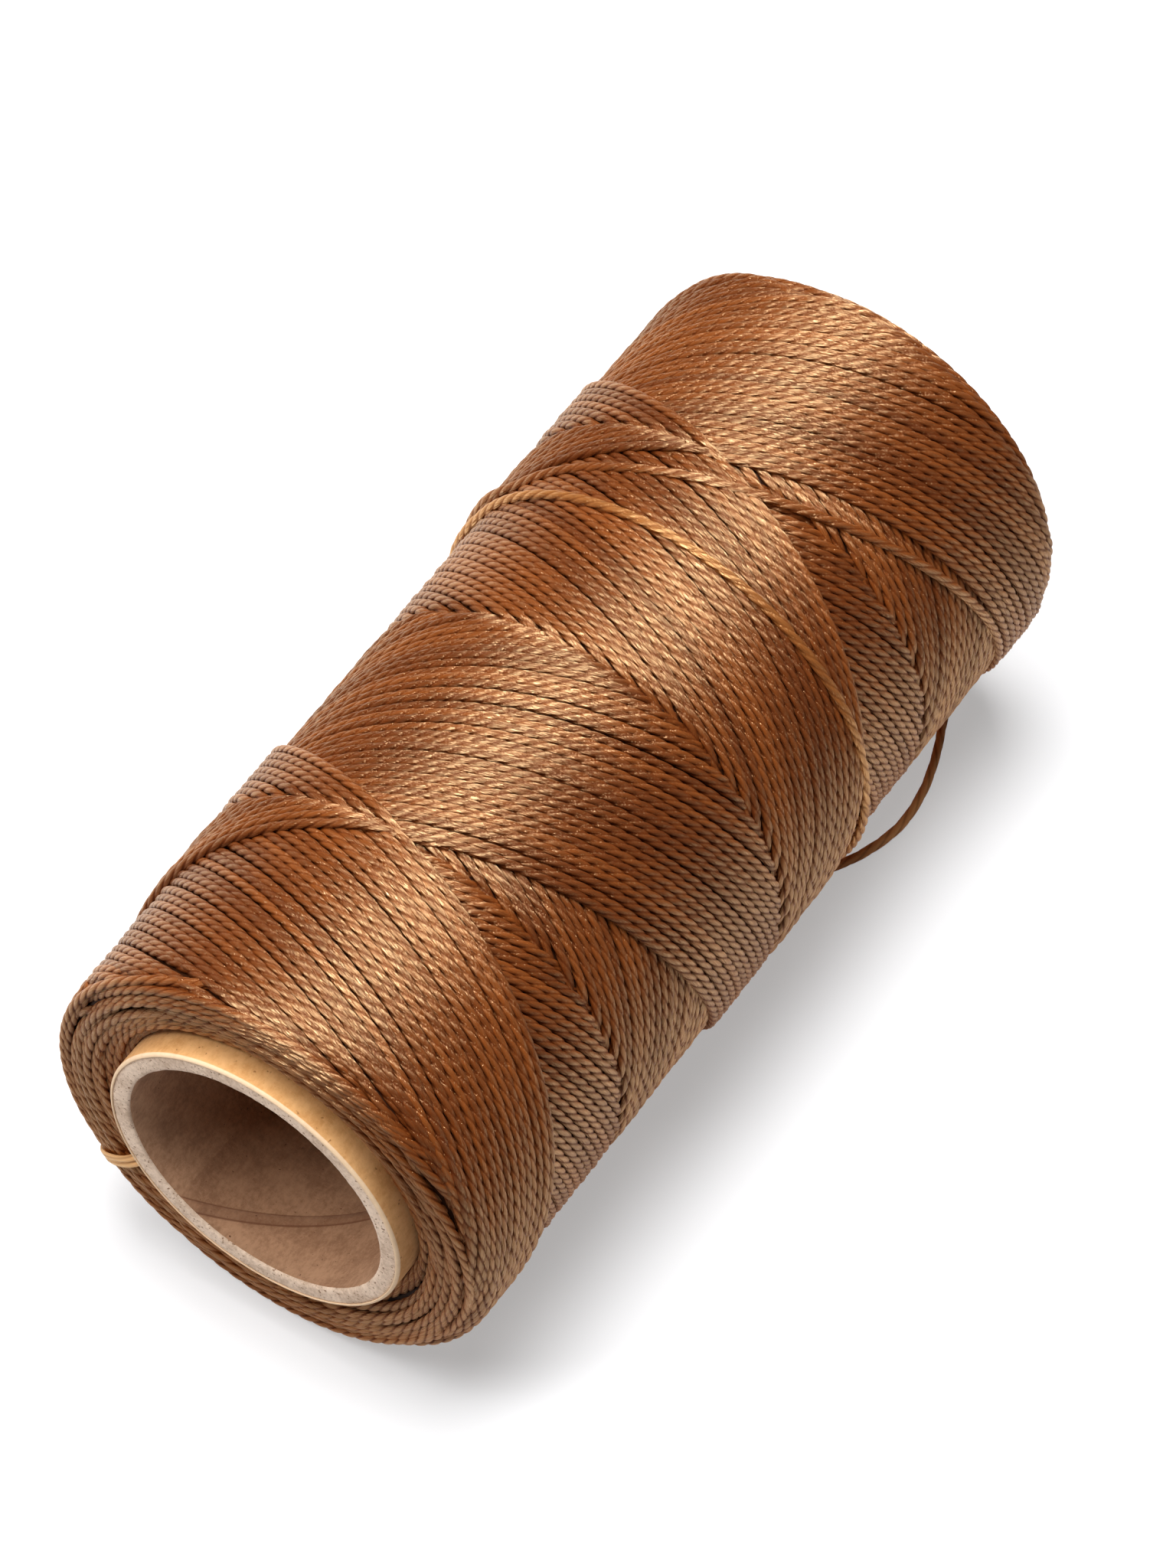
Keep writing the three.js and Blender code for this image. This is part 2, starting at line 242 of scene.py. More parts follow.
class Field:
    """A number that varies over a surface, for use in Python expressions."""

    def __init__(self, socket: bpy.types.NodeSocket) -> None:
        """Wraps an output socket of a node tree."""
        self.socket = socket

    def _math(self, operation: str, *values: Any) -> Field:
        """Adds one Math node.

        Args:
            operation: what it does.
            *values: fields or plain numbers for its inputs.

        Returns:
            Its result.
        """
        made = self.socket.id_data.nodes.new("ShaderNodeMath")
        made.operation = operation
        for socket, value in zip(made.inputs, values):
            plug(socket, value)
        return Field(made.outputs[0])

    def __add__(self, other: Any) -> Field:
        """self + other."""
        return self._math("ADD", self, other)

    def __sub__(self, other: Any) -> Field:
        """self - other."""
        return self._math("SUBTRACT", self, other)

    def __rsub__(self, other: Any) -> Field:
        """other - self."""
        return self._math("SUBTRACT", other, self)

    def __mul__(self, other: Any) -> Field:
        """self * other."""
        return self._math("MULTIPLY", self, other)

    __radd__ = __add__
    __rmul__ = __mul__

    def ramp(self, low: float, high: float) -> Field:
        """A soft ramp over this field.

        Args:
            low: where it is 0.
            high: where it is 1.

        Returns:
            The ramp's height.
        """
        made = self.socket.id_data.nodes.new("ShaderNodeMapRange")
        made.interpolation_type = "SMOOTHSTEP"
        plug(made.inputs["Value"], self)
        plug(made.inputs["From Min"], low)
        plug(made.inputs["From Max"], high)
        return Field(made.outputs["Result"])


def plug(socket: bpy.types.NodeSocket, value: Any) -> None:
    """Feeds one input of a node.

    Args:
        socket: the input.
        value: a field, an output socket or a plain value.
    """
    if isinstance(value, Field):
        value = value.socket
    if isinstance(value, bpy.types.NodeSocket):
        socket.id_data.links.new(value, socket)
    else:
        socket.default_value = value


class Finish:
    """A material under construction, with methods for the nodes that it needs often."""

    def __init__(self, name: str) -> None:
        """Starts an empty material with a Principled shader.

        Args:
            name: the material's name.
        """
        self.material = bpy.data.materials.new(name)
        self.material.use_nodes = True
        self.tree = self.material.node_tree
        self.shader = self.tree.nodes["Principled BSDF"]

    def node(self, kind: str, settings: dict[str, Any] | None = None, **values: Any) -> bpy.types.Node:
        """Adds a node.

        Args:
            kind: the node's type without its ShaderNode prefix.
            settings: properties that are set before the inputs.
            **values: what its inputs are fed, with _ for a space in their names.

        Returns:
            The node.
        """
        made = self.tree.nodes.new("ShaderNode" + kind)
        for key, value in (settings or {}).items():
            setattr(made, key, value)
        self.feed(made, **values)
        return made

    def feed(self, node: bpy.types.Node, **values: Any) -> None:
        """Feeds a node's inputs, given by name with _ for a space."""
        for key, value in values.items():
            plug(node.inputs[key.replace("_", " ")], value)

    def attribute(self, name: str) -> Field:
        """One of the mesh's own attributes, as a number."""
        return Field(self.node("Attribute", {"attribute_name": name}).outputs["Fac"])

    def speckle(self, vector: Any, scale: float, detail: float = 2.0, rough: float = 0.5) -> Field:
        """Soft noise from 0 to 1: the scale is in features to a metre, the detail in octaves."""
        made = self.node("TexNoise", None, Vector=vector, Scale=scale, Detail=detail, Roughness=rough)
        return Field(made.outputs["Fac"])

    def stretched(self, vector: Any, scale: tuple[float, float, float]) -> bpy.types.NodeSocket:
        """Coordinates scaled by a different amount on each axis.

        Args:
            vector: the coordinates' socket.
            scale: the amount for each axis.

        Returns:
            The new coordinates' socket.
        """
        made = self.node("VectorMath", {"operation": "MULTIPLY"})
        plug(made.inputs[0], vector)
        plug(made.inputs[1], scale)
        return made.outputs[0]

    def blend(self, share: Any, first: Any, second: Any) -> bpy.types.NodeSocket:
        """Mixes two colours.

        Args:
            share: how much of the second, from 0 to 1.
            first: a colour or a colour socket.
            second: a colour or a colour socket.

        Returns:
            The mixed colour's socket.
        """
        made = self.node("Mix", {"data_type": "RGBA", "clamp_factor": True})
        for socket, value in ((0, share), (6, first), (7, second)):
            plug(made.inputs[socket], value)
        return made.outputs[2]

    def bump(self, shader: bpy.types.Node, height: Field, distance: float, strength: float = 1.0) -> None:
        """Feeds a shader's normal from a height field, in which 1 stands for the distance."""
        made = self.node("Bump", None, Height=height, Distance=distance, Strength=strength)
        self.feed(shader, Normal=made.outputs["Normal"])

    def mix_with(self, other: bpy.types.Node, share: Field) -> None:
        """Lays a second shader over the main one.

        Args:
            other: the second shader.
            share: how much of it shows, from 0 to 1.
        """
        made = self.node("MixShader")
        for socket, value in zip(made.inputs, (share, self.shader.outputs[0], other.outputs[0])):
            plug(socket, value)
        self.feed(self.tree.nodes["Material Output"], Surface=made.outputs[0])


@dataclass(frozen=True)
class ThreadFinish:
    """Waxed, dyed thread: a deep body under bright filaments that shine in their own colour. The groove
    colour is painted shade, mixed into the ply grooves and onto the flanks where the threads meet, where
    the shine is dimmed too.
    """

    name: str
    light: Colour
    deep: Colour
    # painted shade: the colour of the grooves and flanks
    groove: Colour
    filament: Colour
    shine: float = 0.5
    roughness: float = 0.5
    filament_roughness: float = 0.28

    def make(self) -> bpy.types.Material:
        """Builds the material.

        Returns:
            The material, which reads the fibre, across_ply, side and shade attributes.
        """
        f = Finish(self.name)
        fibre = f.node("Attribute", {"attribute_name": "fibre"}).outputs["Vector"]
        across = f.attribute("across_ply")
        shade = f.attribute("shade")
        flank = f.attribute("side").ramp(0.25, 0.7)
        place = f.node("TexCoord").outputs["Object"]
        streaks = f.speckle(f.stretched(fibre, (0.08, 1, 1)), 7000, 3.0, 0.65)
        hairs = f.speckle(f.stretched(fibre, (0.02, 1, 1)), 15000, 1.0)
        lengths = f.speckle(f.stretched(fibre, (1, 0.2, 0.2)), 260, 2.0)
        dye = f.speckle(place, 95, 3.0, 0.6)
        tone = (shade * 0.55 + dye * 0.5 + lengths * 0.45 - 0.3).ramp(0.0, 1.0)
        body = f.blend(tone, self.deep, self.light)
        # Painted shade: the ply grooves and the flanks between threads take the groove colour and lose
        # most of their shine.
        groove_shade = across.ramp(0.5, 1.0) * 0.6
        painted_shade = 1 - (1 - groove_shade) * (1 - flank * (0.3 * lengths + 0.15 + groove_shade * 0.8))
        base = f.blend(painted_shade, body, self.groove)
        rough = self.roughness + (streaks - 0.5) * 0.3
        f.feed(f.shader, Base_Color=base, Roughness=rough, Specular_IOR_Level=0.12)
        glint = f.node("BsdfPrincipled", None, Metallic=1.0, Roughness=self.filament_roughness)
        bright = f.blend(tone, self.filament, tuple(min(c * 1.25, 1) for c in self.filament))
        f.feed(glint, Base_Color=f.blend(painted_shade * 0.8, bright, self.light))
        f.bump(f.shader, streaks * 0.5 + hairs * 0.5, 0.1 * MM)
        f.bump(glint, hairs, 0.2 * MM)
        share = (streaks - 0.5) * 0.7 + self.shine
        f.mix_with(glint, share * (1 - painted_shade * 0.8))
        return f.material


@dataclass(frozen=True)
class PaperFinish:
    """Unbleached paper or board with fibres, flecks and a little fuzz.

    Its marking colour shows where the mesh's marking attribute is above 0.
    """

    name: str
    base: Colour
    pale: Colour
    dark: Colour
    fleck_share: float
    grain: float = 1400
    roughness: float = 0.88
    marking: Colour | None = None

    def make(self) -> bpy.types.Material:
        """Builds the material.

        Returns:
            The material, which lies on object coordinates.
        """
        f = Finish(self.name)
        place = f.node("TexCoord").outputs["Object"]
        cloud = f.speckle(place, self.grain * 0.12, 3.0, 0.6)
        fibres = f.speckle(f.stretched(place, (0.6, 1, 1)), self.grain, 4.0, 0.7)
        cross = f.speckle(f.stretched(place, (1, 0.4, 0.4)), self.grain * 1.7, 3.0, 0.7)
        flecks = f.speckle(place, self.grain * 1.3, 1.0)
        mixed = f.blend((cloud * 0.5 + fibres * 0.5).ramp(0.35, 0.65), self.base, self.pale)
        speckled = f.blend((cross - 0.5).ramp(0.0, 0.22) * 0.6, mixed, self.pale)
        marked = f.blend((flecks - (1 - self.fleck_share)).ramp(0.0, 0.08), speckled, self.dark)
        if self.marking is not None:
            marked = f.blend(f.attribute("marking") * (0.6 + fibres * 0.4), marked, self.marking)
        f.feed(f.shader, Base_Color=marked, Roughness=self.roughness)
        f.feed(f.shader, Specular_IOR_Level=0.25, Sheen_Weight=0.05)
        f.bump(f.shader, fibres * 0.6 + cross * 0.4, 0.12 * MM, 0.7)
        return f.material


class ThreadColour(Enum):
    """The thread's colours on the spool: BROWN is its dye, and the others are lighter or darker copies of
    it with painted light or shade.
    """

    BROWN = ThreadFinish(
        "waxed_brown",
        light=(0.355, 0.088, 0.013, 1),
        deep=(0.17, 0.035, 0.0055, 1),
        groove=(0.06, 0.012, 0.002, 1),
        filament=(0.66, 0.458, 0.245, 1),
    )
    # A lighter copy of the brown thread for the last strand: a painted highlight.
    GOLDEN = ThreadFinish(
        "waxed_golden_painted_highlight",
        light=(0.55, 0.2, 0.045, 1),
        deep=(0.28, 0.075, 0.015, 1),
        groove=(0.1, 0.028, 0.006, 1),
        filament=(0.78, 0.5, 0.23, 1),
    )
    # A lighter copy of the brown thread for the loop on the floor: painted light in place of the floor's
    # bounce.
    LOOSE = ThreadFinish(
        "waxed_loose_painted_light",
        light=(0.95, 0.44, 0.16, 1),
        deep=(0.76, 0.3, 0.1, 1),
        groove=(0.42, 0.15, 0.05, 1),
        filament=(0.8, 0.5, 0.3, 1),
        shine=0.1,
    )
    # A much lighter copy of the thread for the folded start, which faces down: painted light in place of
    # the floor's bounce.
    PALE = ThreadFinish(
        "waxed_pale_painted_light",
        light=(0.95, 0.53, 0.23, 1),
        deep=(0.82, 0.42, 0.16, 1),
        groove=(0.35, 0.16, 0.06, 1),
        filament=(0.95, 0.7, 0.42, 1),
        shine=0.2,
    )
    # A near-black copy of the thread for the buried winding: painted shade where it shows through the
    # gaps between the passes.
    BURIED = ThreadFinish(
        "waxed_buried_painted_shade",
        light=(0.06, 0.018, 0.006, 1),
        deep=(0.03, 0.009, 0.003, 1),
        groove=(0.012, 0.003, 0.001, 1),
        filament=(0.1, 0.05, 0.02, 1),
        shine=0.05,
    )


# ---- Thread ------------------------------------------------------------------

Outward = Callable[[np.ndarray], np.ndarray]


@dataclass
class Route:
    """One stretch of thread to be drawn: its centreline and its shade at either end."""

    points: np.ndarray
    shade: float = 0.5
    fade: float | None = None


@dataclass
class TwistedThread:
    """The spool's three-ply thread, laid along routes as one mesh."""

    diameter: float = 0.99 * MM
    twist_length: float = 5.4 * MM
    groove_depth: float = 0.26
    step: float = 0.45 * MM
    twist_sign: float = -1.0
    points_around: int = 12
    twist_waver: float = 0.25  # radians that the twist may be early or late
    size_waver: float = 0.02  # share that the thickness varies by
    materials: dict[ThreadColour, bpy.types.Material] = field(default_factory=dict)

    def material(self, colour: ThreadColour) -> bpy.types.Material:
        """The colour's material, made once."""
        if colour not in self.materials:
            self.materials[colour] = colour.value.make()
        return self.materials[colour]

    def across_ply(self) -> np.ndarray:
        """How far each point of the section lies from a ply's crest, 1 in the groove."""
        share = np.arange(self.points_around) * 3 / self.points_around % 1
        return 2 * np.minimum(share, 1 - share)

    def section(self) -> bpy.types.Object:
        """The three-lobed section as a closed curve that bevels the routes."""
        fall = (1 - np.cos(self.across_ply() * math.pi / 2)) ** 1.5
        radius = self.diameter / 2 * (1 - self.groove_depth * fall)
        around = np.arange(self.points_around) * 2 * math.pi / self.points_around
        data = bpy.data.curves.new("section", "CURVE")
        spline = data.splines.new("POLY")
        spline.points.add(self.points_around - 1)
        for point, angle, r in zip(spline.points, around, radius):
            point.co = (r * math.cos(angle), r * math.sin(angle), 0, 1)
        spline.use_cyclic_u = True
        return link(data, "section")

    def lay(
        self,
        name: str,
        routes: Sequence[Route],
        colour: ThreadColour,
        seed: int,
        outward: Outward | None = None,
        pressed: float = 1.0,
    ) -> bpy.types.Object:
        """Builds the thread along the routes.

        Args:
            name: the piece's name.
            routes: the centrelines.
            colour: which of the thread's colours it shows.
            seed: sets the random twist phases and thicknesses.
            outward: gives the package's outward directions, or None for a loose thread.
            pressed: how thick the section is left in the outward direction.

        Returns:
            The mesh object, closed at every cut.
        """
        rng = np.random.default_rng(seed)
        section = self.section()
        data = bpy.data.curves.new(name, "CURVE")
        data.dimensions = "3D"
        data.twist_mode = "MINIMUM"
        data.bevel_mode = "OBJECT"
        data.bevel_object = section
        tracks = []
        for route in routes:
            points = resample(route.points, self.step)
            along = distances(points)
            phase = rng.uniform(0, 2 * math.pi)
            wave = np.sin(along / (9 * MM) + phase) + np.sin(along / (3.7 * MM) + 2 * phase)
            spline = data.splines.new("POLY")
            spline.points.add(len(points) - 1)
            spline.points.foreach_set("co", np.c_[points, np.ones(len(points))].ravel())
            turn = self.twist_sign * 2 * math.pi * along / self.twist_length + phase
            spline.points.foreach_set("tilt", turn + self.twist_waver * wave)
            spline.points.foreach_set("radius", 1 + self.size_waver * wave)
            last = route.shade if route.fade is None else route.fade
            tone = np.linspace(route.shade, last, len(along))
            tracks.append(np.c_[along, tone, np.gradient(points, axis=0)])
        curve = link(data, name + "_curve")
        graph = bpy.context.evaluated_depsgraph_get()
        mesh = bpy.data.meshes.new_from_object(curve.evaluated_get(graph))
        bpy.data.objects.remove(curve)
        bpy.data.objects.remove(section)
        shift = np.repeat(rng.uniform(0, 2, len(tracks)), [len(track) for track in tracks])
        self._mark(mesh, np.c_[np.concatenate(tracks), shift], outward, pressed)
        return self._close(mesh, name, colour)

    def _mark(
        self, mesh: bpy.types.Mesh, track: np.ndarray, outward: Outward | None, pressed: float
    ) -> None:
        """Writes the fibre, across_ply, side and shade attributes, and presses the section.

        The fibre attribute holds the distance along the thread and the place in its
        section, unturned, because each ply's filaments run along the thread. The side
        attribute is 0 on the thread's outermost line and 1 on its flanks, where the material paints
        shade.

        Args:
            mesh: the mesh of rings.
            track: a row for each ring: the distance along its route, the shade, the way
                ahead and the shift of its fibre pattern.
            outward: gives the outward directions, or None for a loose thread.
            pressed: how thick the section is left in the outward direction.
        """
        flat = np.empty(len(mesh.vertices) * 3, np.float32)
        mesh.vertices.foreach_get("co", flat)
        rings = flat.reshape(-1, self.points_around, 3).astype(float)
        centres = rings.mean(axis=1)
        offsets = rings - centres[:, None, :]
        if len(track) != len(centres):
            raise ValueError(f"{len(track)} rings don't match the mesh's {len(centres)}")
        normals = outward(centres) if outward else np.tile([0.0, 0.0, 1.0], (len(centres), 1))
        aside = np.cross(track[:, 2:5], normals)
        aside /= np.linalg.norm(aside, axis=1, keepdims=True) + 1e-12
        heights = (offsets * normals[:, None, :]).sum(axis=2)
        sideways = (offsets * aside[:, None, :]).sum(axis=2)
        along, tone, shift = (np.repeat(track[:, i], self.points_around) for i in (0, 1, 5))
        fibre = np.c_[along, sideways.ravel(), heights.ravel()] + shift[:, None]
        sides = 1 - 2 * heights / self.diameter if outward else np.zeros(heights.shape)
        for key, kind, name, value in (
            ("fibre", "FLOAT_VECTOR", "vector", fibre),
            ("across_ply", "FLOAT", "value", np.tile(self.across_ply(), len(centres))),
            ("side", "FLOAT", "value", sides),
            ("shade", "FLOAT", "value", tone),
        ):
            layer = mesh.attributes.new(key, kind, "POINT")
            layer.data.foreach_set(name, value.astype(np.float32).ravel())
        if pressed < 1:
            rings -= (1 - pressed) * heights[:, :, None] * normals[:, None, :]
            mesh.vertices.foreach_set("co", rings.astype(np.float32).ravel())

    def _close(self, mesh: bpy.types.Mesh, name: str, colour: ThreadColour) -> bpy.types.Object:
        """Closes the cut ends and dresses the piece.

        Args:
            mesh: the mesh with its attributes.
            name: the piece's name.
            colour: the thread's colour.

        Returns:
            The finished object.
        """
        work = bmesh.new()
        work.from_mesh(mesh)
        rims = [edge for edge in work.edges if edge.is_boundary]
        bmesh.ops.holes_fill(work, edges=rims, sides=self.points_around)
        work.to_mesh(mesh)
        work.free()
        mesh.name = name
        mesh.materials.clear()
        mesh.materials.append(self.material(colour))
        mesh.shade_smooth()
        return link(mesh, name)


# ---- Winding -----------------------------------------------------------------


class Slant(Enum):
    """Which way a pass leans: x grows or shrinks as the angle grows."""

    FORWARD = 1
    BACK = -1


@dataclass
class Package:
    """The cross-wound thread package and the law its passes follow."""

    half_length: float
    radius: float
    axis_height: float
    tube_radius: float
    thread: TwistedThread
    passes: int = 54
    first_angle: float = 87.0  # where the newest threads cross
    build: float = 0.7 * MM  # how much a full set of passes raises the surface
    proud: tuple[float, float] = (1.4 * MM, 0.75 * MM)  # bulge of the near and far end
    shoulder: float = 2.5 * MM
    turn_angle: float = 37.4  # a pass takes twice this to turn back at an end
    overlap: float = 1.7 * MM  # how far a pass runs on under a seam
    dive_depth: float = 0.95 * MM  # how deep it goes there
    turn_sink: float = 1.0 * MM  # how deep it goes as it turns
    end_scatter: float = 1.9 * MM  # how far short of the end it may turn
    seam_scatter: float = 0.35 * MM  # how ragged a seam is
    side_scatter: float = 0.1 * MM  # how far a pass may lie beside its place
    lift_scatter: float = 0.07 * MM  # and above or below it
    wander: float = 0.05 * MM  # how far it sways from side to side

    def half(self, x: Any) -> np.ndarray:
        """How far from the middle the winding's end bulges, on the side that x is on."""
        return self.half_length + np.where(np.asarray(x) < 0, *self.proud)

    def place(self, x: np.ndarray, degrees: np.ndarray, r: np.ndarray) -> np.ndarray:
        """Points on the package, pressed flat where it rests.

        Args:
            x: places along the axis.
            degrees: angles about it.
            r: distances from it.

        Returns:
            One row for each point.
        """
        angle = np.radians(degrees)
        z = self.axis_height + r * np.sin(angle)
        lowest = self.thread.diameter * 0.52
        return np.stack([x, r * np.cos(angle), np.maximum(z, lowest)], axis=1)

    def shoulder_drop(self, x: np.ndarray) -> np.ndarray:
        """How far the thread's centre lies below the straight surface near an end.

        Args:
            x: places along the axis.

        Returns:
            The depth at each place.
        """
        core = self.shoulder - self.thread.diameter / 2
        over = np.clip(np.abs(x) - (self.half(x) - self.shoulder), 0, core)
        return core - np.sqrt(core**2 - over**2)

    def turned_x(self, straight: np.ndarray, end: float) -> tuple[np.ndarray, np.ndarray]:
        """Bends a straight pass round at the package's ends.

        Args:
            straight: x along the pass as if it never turned.
            end: how far from the middle this pass turns.

        Returns:
            The bent x, and the angle past the turn's apex, below 0 short of it.
        """
        slope = WIND_LEAD / 360
        curve = slope / (2 * self.turn_angle)
        past = (np.abs(straight) - end) / slope - self.turn_angle / 2
        bent = end - curve * past**2
        x = np.where(past > -self.turn_angle, bent, np.abs(straight))
        return np.sign(straight) * x, past

    def route(self, strip: int, slant: Slant, index: int, rng: np.random.Generator) -> Route | None:
        """The stretch of one pass that lies on top in one strip between seams.

        Args:
            strip: 0 to 3, from the near end.
            slant: the pass's lean.
            index: how many passes ago it was laid.
            rng: draws its small irregularities.

        Returns:
            The route, or None where the pass doesn't show.
        """
        half = WIND_LEAD / 2
        seam = (strip - 2) * half
        age = 360 * index / self.passes
        draws = rng.uniform(0, 1, 8)
        end = float(self.half(seam + 1)) - self.thread.diameter / 2 - self.end_scatter * draws[0] ** 2
        past_turn = 9  # degrees that still show
        reach = end + WIND_LEAD / 360 * (self.turn_angle / 2 + past_turn)
        low, high = seam, seam + half
        if slant is Slant.FORWARD:
            low += half * age / 360
        else:
            high -= half * age / 360
        low, high = max(low - self.overlap, -reach), min(high + self.overlap, reach)
        if high - low < 3 * MM:
            return None
        straight = np.linspace(low, high, max(int((high - low) / (0.25 * MM)), 8))
        degrees = self.first_angle - age + slant.value * 360 * (straight + half) / WIND_LEAD
        share = (straight - seam) / half
        if slant is Slant.BACK:
            share = 1 - share
        surface = self.radius + self.build * (1 - 2 * age / 360 - (1 - share))
        x, past = self.turned_x(straight, end)
        dive_at = seam + (half if slant is Slant.FORWARD else 0)
        beyond = slant.value * (straight - dive_at) + self.seam_scatter * (draws[1] - 0.5)
        dive = self.dive_depth * smooth(-0.9 * MM, 0.7 * MM, beyond)
        sink = self.turn_sink * smooth(-30, 8, past)
        wander = self.wander * np.sin(np.radians(degrees) * (1 + 2 * draws[2]) + 7 * draws[3])
        x = x + wander + self.side_scatter * (2 * draws[4] - 1)
        lift = self.lift_scatter * (2 * draws[5] - 1)
        centre = surface - self.thread.diameter / 2 + lift
        r = centre - self.shoulder_drop(x) - dive - sink
        return Route(self.place(x, degrees, r), draws[6])

    def outward(self, places: np.ndarray) -> np.ndarray:
        """The directions square to the package's skin.

        Args:
            places: points on the package, one row each.

        Returns:
            One unit vector for each point.
        """
        off = places - [0, 0, self.axis_height]
        r = np.hypot(off[:, 1], off[:, 2])
        past = np.maximum(np.abs(off[:, 0]) - (self.half(off[:, 0]) - self.shoulder), 0)
        over = np.maximum(r - (self.radius - self.shoulder), 0.1 * MM * (past == 0))
        whole = np.hypot(past, over)
        radial = off[:, 1:] / r[:, None] * (over / whole)[:, None]
        return np.c_[np.sign(off[:, 0]) * past / whole, radial]

    def surface_pieces(self) -> list[bpy.types.Object]:
        """The passes that show, one piece for each slant in each strip."""
        rng = np.random.default_rng(5)
        made = []
        for strip in range(4):
            for slant in Slant:
                found = [self.route(strip, slant, index, rng) for index in range(self.passes)]
                name = f"passes_{strip + 1}_{slant.name.lower()}"
                shown = [route for route in found if route is not None]
                seed = strip * 2 + slant.value + 1
                made.append(self.thread.lay(name, shown, ThreadColour.BROWN, seed, self.outward))
        return made

    def end_turns(self, side: int) -> bpy.types.Object:
        """The courses that show on one end face, in arcs that sink in at both their ends.

        Args:
            side: -1 for the near end, 1 for the far one.

        Returns:
            The piece.
        """
        rng = np.random.default_rng(40 + side)
        inner = self.tube_radius + self.thread.diameter * 0.55
        outer = self.radius - 1.3 * MM
        courses = 9
        arcs = 6  # in each course
        half = self.thread.diameter / 2
        t = np.linspace(0, 1, 60)
        routes = []
        for course, arc in itertools.product(range(courses), range(arcs)):
            span = rng.uniform(85, 125)
            start = 360 * arc / arcs + 17 * course + rng.uniform(-22, 22)
            mid = inner + (outer - inner) * course / (courses - 1)
            drift = rng.uniform(-0.3, 1.5) * MM
            wave = rng.uniform(0.1, 0.35) * MM * np.sin(5 * t + rng.uniform(0, 6))
            r = np.maximum(mid + drift * (t - 0.5) + wave, self.tube_radius + half)
            deep = 1.5 * MM * np.abs(2 * t - 1) ** 5 + rng.uniform(0, 0.5) * MM
            x = side * (self.half(side) - half - self.face_recess(r) - deep)
            # The arcs' tones are drawn lighter than the passes' (0.45 to 1.2 against 0 to 1): random
            # variation, raised as painted light on the end faces.
            routes.append(Route(self.place(x, start + span * t, r), rng.uniform(0.45, 1.2)))
        name = f"end_turns_{'near' if side < 0 else 'far'}"
        return self.thread.lay(name, routes, ThreadColour.BROWN, 60 + side, self.outward)

    def face_recess(self, r: np.ndarray) -> np.ndarray:
        """How far an end face lies behind its proudest place.

        Args:
            r: distances from the axis.

        Returns:
            The depth at each distance.
        """
        dip = 1.5 * MM * (1 - smooth(0, 3.2 * MM, r - self.tube_radius))
        over = np.clip(r - (self.radius - self.shoulder), 0, self.shoulder * 0.95)
        return dip + self.shoulder - np.sqrt(self.shoulder**2 - over**2)

    def core(self) -> bpy.types.Object:
        """The buried winding: a closed ring just below the passes that show, near black as painted shade
        in the gaps between them.
        """
        below = 1.2 * MM
        edge = self.radius - self.thread.diameter
        radii = np.linspace(self.tube_radius + 0.1 * MM, edge - below, 8)
        face = below + self.face_recess(radii)
        profile = list(zip(face - self.half(-1), radii))
        columns = np.linspace(self.shoulder - self.half(-1), self.half(1) - self.shoulder, 121)
        profile += [(x, edge) for x in columns]
        profile += list(zip(self.half(1) - face, radii))[::-1]
        work = sweep(profile, 180)
        for vert in work.verts:
            x, y, z = vert.co
            r = math.hypot(y, z)
            angle = math.atan2(z, y)
            if r > edge - 0.2 * MM:
                r += self.step_height(x, math.degrees(angle))
            height = self.axis_height + r * math.sin(angle)
            vert.co = (x, r * math.cos(angle), max(height, self.thread.diameter))
        return finish_mesh(work, "buried_winding", self.thread.material(ThreadColour.BURIED))

    def step_height(self, x: float, degrees: float) -> float:
        """How far the stepped surface lies off the mean radius.

        Args:
            x: a place along the axis.
            degrees: the angle about it.

        Returns:
            The height, below 0 under the mean.
        """
        wind = 360 * (x + WIND_LEAD / 2) / WIND_LEAD
        first = (self.first_angle - degrees + wind) % 360
        second = (self.first_angle - degrees - wind) % 360
        return self.build * (1 - first / 360 - second / 360)


# ---- Single strands ----------------------------------------------------------


